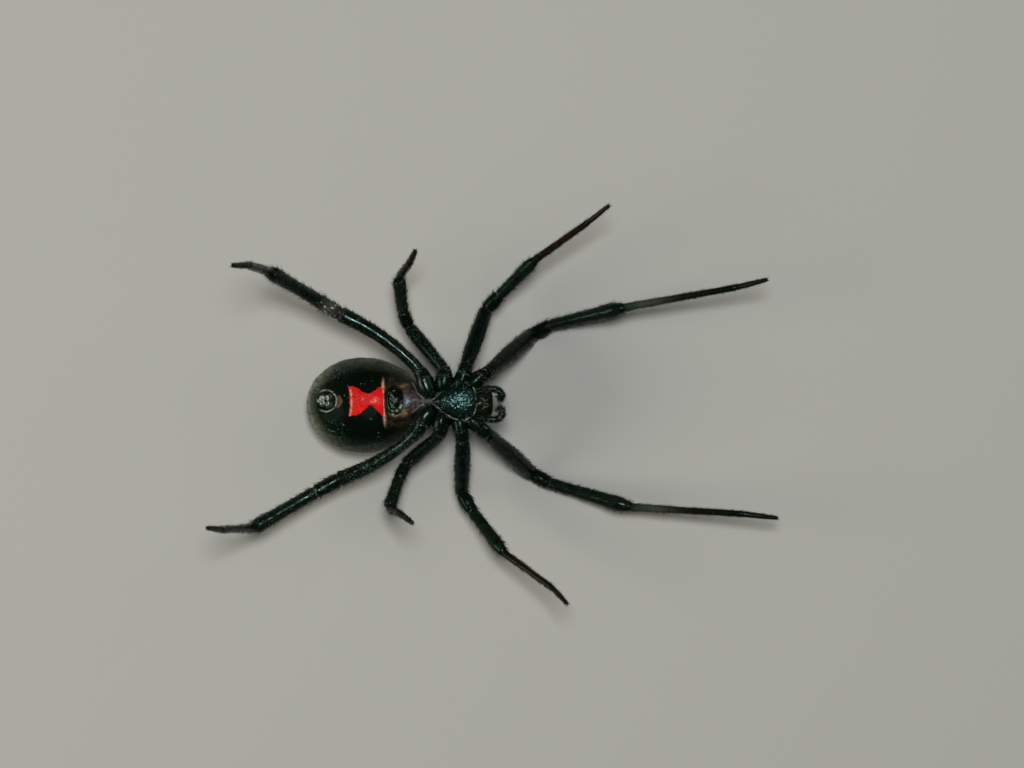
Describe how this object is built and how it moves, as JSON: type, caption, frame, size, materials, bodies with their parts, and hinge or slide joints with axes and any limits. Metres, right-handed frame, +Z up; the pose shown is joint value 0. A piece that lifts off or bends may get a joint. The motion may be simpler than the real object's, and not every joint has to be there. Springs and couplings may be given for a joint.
{
  "type": "black widow spider",
  "caption": "Life-size still model of a female black widow spider, belly up with the legs spread as she hangs in her web, red hourglass on the belly.",
  "frame": {"origin": "middle of the bounding box's base, on the floor", "axes": "+X towards the head, +Y to the side of her own right legs, +Z up, out of the belly"},
  "size_m": [0.034, 0.0238, 0.0148],
  "materials": {
    "black_shell": "smooth glossy black cuticle",
    "black_leg": "glossy black cuticle with fine bristles",
    "brown_foot": "satin very dark brown cuticle",
    "brown_mouthparts": "glossy brownish black cuticle",
    "brown_spinnerets": "satin brown cuticle"
  },
  "bodies": {
    "root": {"cephalothorax": "black_shell", "abdomen": "black_shell", "spinnerets": "brown_spinnerets", "chelicera_r": "brown_mouthparts", "chelicera_l": "brown_mouthparts", "palp_r": "brown_mouthparts", "palp_l": "brown_mouthparts", "leg_r1_femur": "black_leg", "leg_r1_tibia": "black_leg", "leg_r1_foot": "brown_foot", "leg_r2_femur": "black_leg", "leg_r2_tibia": "black_leg", "leg_r2_foot": "brown_foot", "leg_r3_femur": "black_leg", "leg_r3_tibia": "black_leg", "leg_r3_foot": "brown_foot", "leg_r4_femur": "black_leg", "leg_r4_tibia": "black_leg", "leg_r4_foot": "brown_foot", "leg_l1_femur": "black_leg", "leg_l1_tibia": "black_leg", "leg_l1_foot": "brown_foot", "leg_l2_femur": "black_leg", "leg_l2_tibia": "black_leg", "leg_l2_foot": "brown_foot", "leg_l3_femur": "black_leg", "leg_l3_tibia": "black_leg", "leg_l3_foot": "brown_foot", "leg_l4_femur": "black_leg", "leg_l4_tibia": "black_leg", "leg_l4_foot": "brown_foot"}
  },
  "joints": []
}
